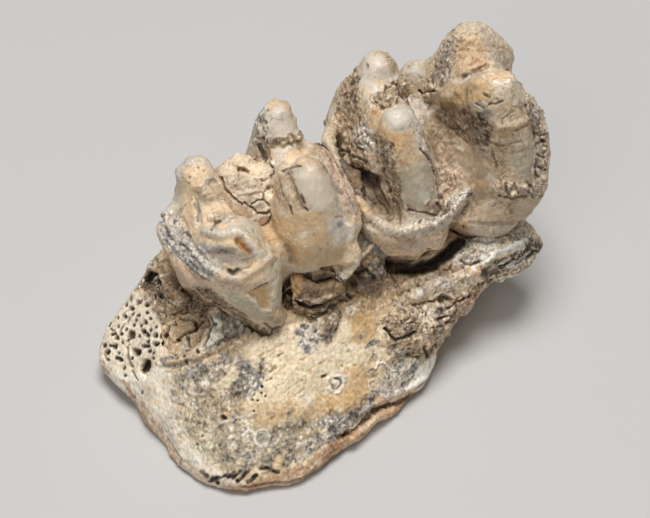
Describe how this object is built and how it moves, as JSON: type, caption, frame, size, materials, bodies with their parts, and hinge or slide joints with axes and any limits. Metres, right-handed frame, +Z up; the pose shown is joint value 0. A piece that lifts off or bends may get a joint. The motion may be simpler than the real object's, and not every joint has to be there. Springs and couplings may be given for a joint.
{
  "type": "fossil jaw fragment with molars",
  "caption": "Fossil jaw-bone fragment of a dwarf hippo: tall cusped molars in worn enamel, hardened sediment between them, broken porous bone below.",
  "frame": {"origin": "middle of the bounding box, at the height of the surface that the fragment lies on", "axes": "+X runs back along the tooth row, +Y away from the broad outer wall, +Z up through the cusps"},
  "size_m": [0.054, 0.0338, 0.0362],
  "materials": {
    "bone": "matte fossil bone, cream with grey and brown stains",
    "enamel": "satin fossil enamel, ivory with tan and grey stains",
    "sediment": "rough hardened sediment"
  },
  "bodies": {
    "root": {"jaw_bone": "bone", "front_molar": "enamel", "rear_molar": "enamel", "valley_matrix": "sediment", "interdental_matrix": "sediment", "root_gap_matrix": "sediment", "socket_matrix": "sediment"}
  },
  "joints": []
}
